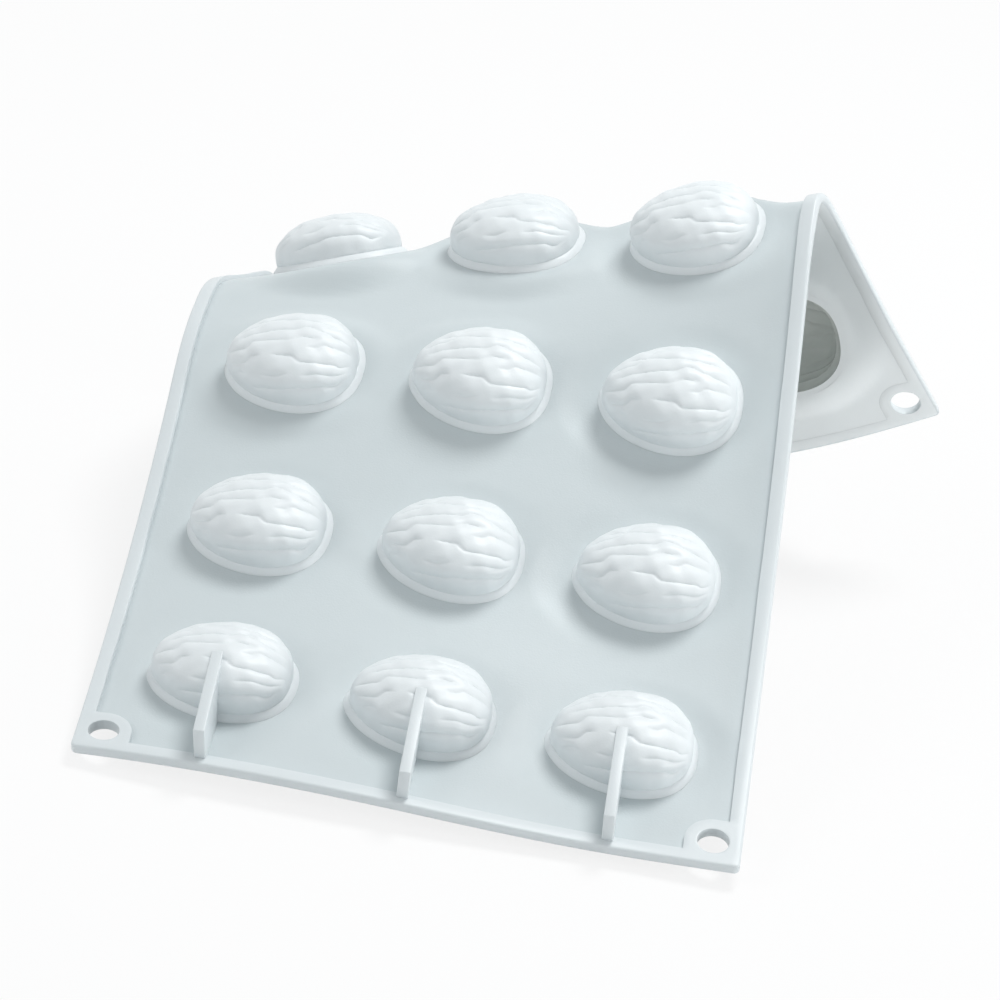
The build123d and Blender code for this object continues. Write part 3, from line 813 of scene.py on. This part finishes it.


# %% [markdown]
# Moulded silicone is a satin, faintly cool white. Its surface has a fine, even grain from the
# tool, very slight clouding of the colour where the rubber is thicker or has been handled, and a
# sheen that changes a little from place to place. It lets a trace of light in, so its shadows are
# soft. The silicone is one white, but its parts get their own tones with light and shade painted in:
# painted light makes the cups and the sheet's inner face paler, and painted shade makes the web, the
# rim and fins darker and the cavities darker and browner still. The inner face is smoother, and the
# cavities are glossy, because there the tool was polished.

# %% Silicone
def silicone(name, colour, clouded, roughness, grain, sheen_change=0.08):
    material = bpy.data.materials.new(name)
    material.use_nodes = True
    tree = material.node_tree
    tree.nodes.clear()
    start = Signal(tree)
    place = start.node("ShaderNodeTexCoord", output=3)

    def clouds(scale, detail):
        return start.node("ShaderNodeTexNoise", {"noise_dimensions": "3D"},
                          {"Vector": place, "Scale": scale, "Detail": detail, "Roughness": 0.55})

    broad = clouds(22.0, 3.0)
    patches = clouds(140.0, 3.0)
    fine = clouds(1900.0, 2.0)
    shade = broad * 0.7 + patches * 0.3
    tint = start.node("ShaderNodeMix", {"data_type": "RGBA"},
                      {0: shade, 6: (*colour, 1), 7: (*clouded, 1)}, output=2)
    rough = patches * sheen_change + (roughness - 0.5 * sheen_change)
    bump = start.node("ShaderNodeBump", sockets={
        "Strength": grain, "Distance": 0.00015, "Height": fine + patches * 0.6})
    surface = start.node("ShaderNodeBsdfPrincipled", sockets={
        "Base Color": tint, "Roughness": rough, "Normal": bump, "IOR": 1.41,
        "Subsurface Weight": 0.2, "Subsurface Radius": (1.0, 1.0, 1.0), "Subsurface Scale": 0.0015})
    start.node("ShaderNodeOutputMaterial", sockets={"Surface": surface})
    return material


# Painted shade: the web is the same white silicone as the cups, but both its tones are set darker to stand in for
# the shade it lies in.
WEB_PAINTED_SHADE_COLOUR = (0.575, 0.635, 0.65)
WEB_PAINTED_SHADE_CLOUD = (0.61, 0.665, 0.68)
# Painted light: both cup tones are set paler than the web's, though it is the same silicone, to stand in for the
# light the domes catch.
CUP_PAINTED_LIGHT_COLOUR = (0.755, 0.8, 0.815)
CUP_PAINTED_LIGHT_CLOUD = (0.78, 0.82, 0.835)
# Painted shade: the rim's and fins' tones are set darker than the cups', though it is the same silicone.
RIM_PAINTED_SHADE_COLOUR = (0.66, 0.71, 0.725)
RIM_PAINTED_SHADE_CLOUD = (0.69, 0.735, 0.75)
# Painted light: the sheet's inner face, which on the flap lies in the fold's shade, has the palest tones to stand
# in for light.
INNER_PAINTED_LIGHT_COLOUR = (0.82, 0.86, 0.865)
INNER_PAINTED_LIGHT_CLOUD = (0.84, 0.875, 0.88)
# Painted shade: the cavities have a darker, browner tone than the white silicone, standing in for the shade in the
# hollows.
CAVITY_PAINTED_SHADE_COLOUR = (0.63, 0.66, 0.635)
CAVITY_PAINTED_SHADE_CLOUD = (0.66, 0.69, 0.665)
web_satin_painted_shade = silicone("web_silicone_satin_painted_shade", WEB_PAINTED_SHADE_COLOUR, WEB_PAINTED_SHADE_CLOUD, 0.46, 0.25)
cup_satin_painted_light = silicone("cup_silicone_satin_painted_light", CUP_PAINTED_LIGHT_COLOUR, CUP_PAINTED_LIGHT_CLOUD, 0.42, 0.2)
cavity_glossy_painted_shade = silicone("cavity_silicone_glossy_painted_shade", CAVITY_PAINTED_SHADE_COLOUR, CAVITY_PAINTED_SHADE_CLOUD, 0.13, 0.05, 0.05)
inner_satin_painted_light = silicone("inner_silicone_satin_painted_light", INNER_PAINTED_LIGHT_COLOUR, INNER_PAINTED_LIGHT_CLOUD, 0.34, 0.12)
rim_and_fin_satin_painted_shade = silicone("rim_silicone_satin_painted_shade", RIM_PAINTED_SHADE_COLOUR, RIM_PAINTED_SHADE_CLOUD, 0.36, 0.2)
web.data.materials.append(web_satin_painted_shade)
web.data.materials.append(inner_satin_painted_light)
rim.data.materials.append(rim_and_fin_satin_painted_shade)
rim.data.materials.append(inner_satin_painted_light)
for piece in fins:
    piece.data.materials.append(rim_and_fin_satin_painted_shade)
for piece in cups:
    piece.data.materials.append(cup_satin_painted_light)
    piece.data.materials.append(cavity_glossy_painted_shade)
    piece.data.materials.append(inner_satin_painted_light)

# %% [markdown]
# The object was photographed on plain white, with soft light from all round. The floor is white
# and keeps a soft shadow. Part of what the camera and gloss see of it is a steady white, so that the
# background stays clean without more light on the object.

# %% Floor and background
def backdrop_white(tree, share):
    """White that only the camera and reflections see, as a share of what they see."""
    start = Signal(tree)
    rays = start.node("ShaderNodeLightPath")
    camera = Signal(tree, rays.socket.node.outputs["Is Camera Ray"])
    glossy = Signal(tree, rays.socket.node.outputs["Is Glossy Ray"])
    return start, start.maths("MAXIMUM", camera, glossy) * share


floor_bm = bmesh.new()
bmesh.ops.create_grid(floor_bm, x_segments=1, y_segments=1, size=6)
floor_mesh = bpy.data.meshes.new("studio_floor")
floor_bm.to_mesh(floor_mesh)
floor_bm.free()
floor = bpy.data.objects.new("studio_floor", floor_mesh)
scene.collection.objects.link(floor)
floor_material = bpy.data.materials.new("studio_floor_white")
floor_material.use_nodes = True
floor_tree = floor_material.node_tree
floor_tree.nodes.clear()
start, seen = backdrop_white(floor_tree, 0.82)
matte = start.node("ShaderNodeBsdfDiffuse", sockets={"Color": (0.86, 0.86, 0.86, 1)})
glow = start.node("ShaderNodeEmission", sockets={"Color": (1, 1, 1, 1), "Strength": 1.0})
mixed = start.node("ShaderNodeMixShader", sockets={0: seen, 1: matte, 2: glow})
start.node("ShaderNodeOutputMaterial", sockets={"Surface": mixed})
floor_mesh.materials.append(floor_material)

world = bpy.data.worlds.new("studio_world")
scene.world = world
world.use_nodes = True
world_tree = world.node_tree
world_tree.nodes.clear()
start, seen = backdrop_white(world_tree, 1.0)
ambient = start.node("ShaderNodeBackground", sockets={"Color": (0.95, 0.98, 1.0, 1), "Strength": 0.44})
white = start.node("ShaderNodeBackground", sockets={"Color": (1, 1, 1, 1), "Strength": 1.0})
mixed = start.node("ShaderNodeMixShader", sockets={0: seen, 1: ambient, 2: white})
start.node("ShaderNodeOutputWorld", sockets={"Surface": mixed})

# %% [markdown]
# Large, soft lamps give the shell's folds their gentle shading: the main one high and to the
# right, a broad one from the left and one behind that lights the flap.

# %% Lamps
def lamp(name, place, target, size, power, colour=(1, 1, 1)):
    data = bpy.data.lights.new(name, "AREA")
    data.shape = "DISK"
    data.size = size
    data.energy = power
    data.color = colour
    made = bpy.data.objects.new(name, data)
    scene.collection.objects.link(made)
    made.location = place
    made.rotation_euler = (Vector(target) - Vector(place)).to_track_quat("-Z", "Y").to_euler()


CENTRE = (0.0, 0.0, 0.06)
lamp("key_lamp", (0.25, 0.35, 1.15), CENTRE, 0.5, 9.0)
lamp("right_lamp", (1.1, -0.35, 0.12), CENTRE, 0.4, 5.0)
lamp("left_lamp", (-1.0, -0.6, 0.8), CENTRE, 0.8, 3.6)

# %% [markdown]
# The camera's place was worked out from the corners, holes and cups of the photograph, in the
# formula's own frame, so it follows the same move as the pieces. It looks down on the mould from the
# front, with a long lens and a slight roll.

# %% Camera
CAMERA_PLACE = (284.63, -246.55, 1144.91)
CAMERA_RIGHT = (0.97152, 0.08157, -0.22247)
CAMERA_FORWARD = (-0.23322, 0.16316, -0.95864)
CAMERA_LENS = 155.34
right = Vector(np.array(CAMERA_RIGHT) @ STAND).normalized()
forward = Vector(np.array(CAMERA_FORWARD) @ STAND).normalized()
up = right.cross(forward).normalized()
right = forward.cross(up)
camera_data = bpy.data.cameras.new("photo_camera")
camera_data.lens = CAMERA_LENS
camera_data.sensor_width = 36
camera = bpy.data.objects.new("photo_camera", camera_data)
scene.collection.objects.link(camera)
turn = Matrix((right, up, -forward)).transposed().to_4x4()
camera.matrix_world = Matrix.Translation(standing(np.array(CAMERA_PLACE))) @ turn
scene.camera = camera
scene.view_settings.view_transform = "Standard"
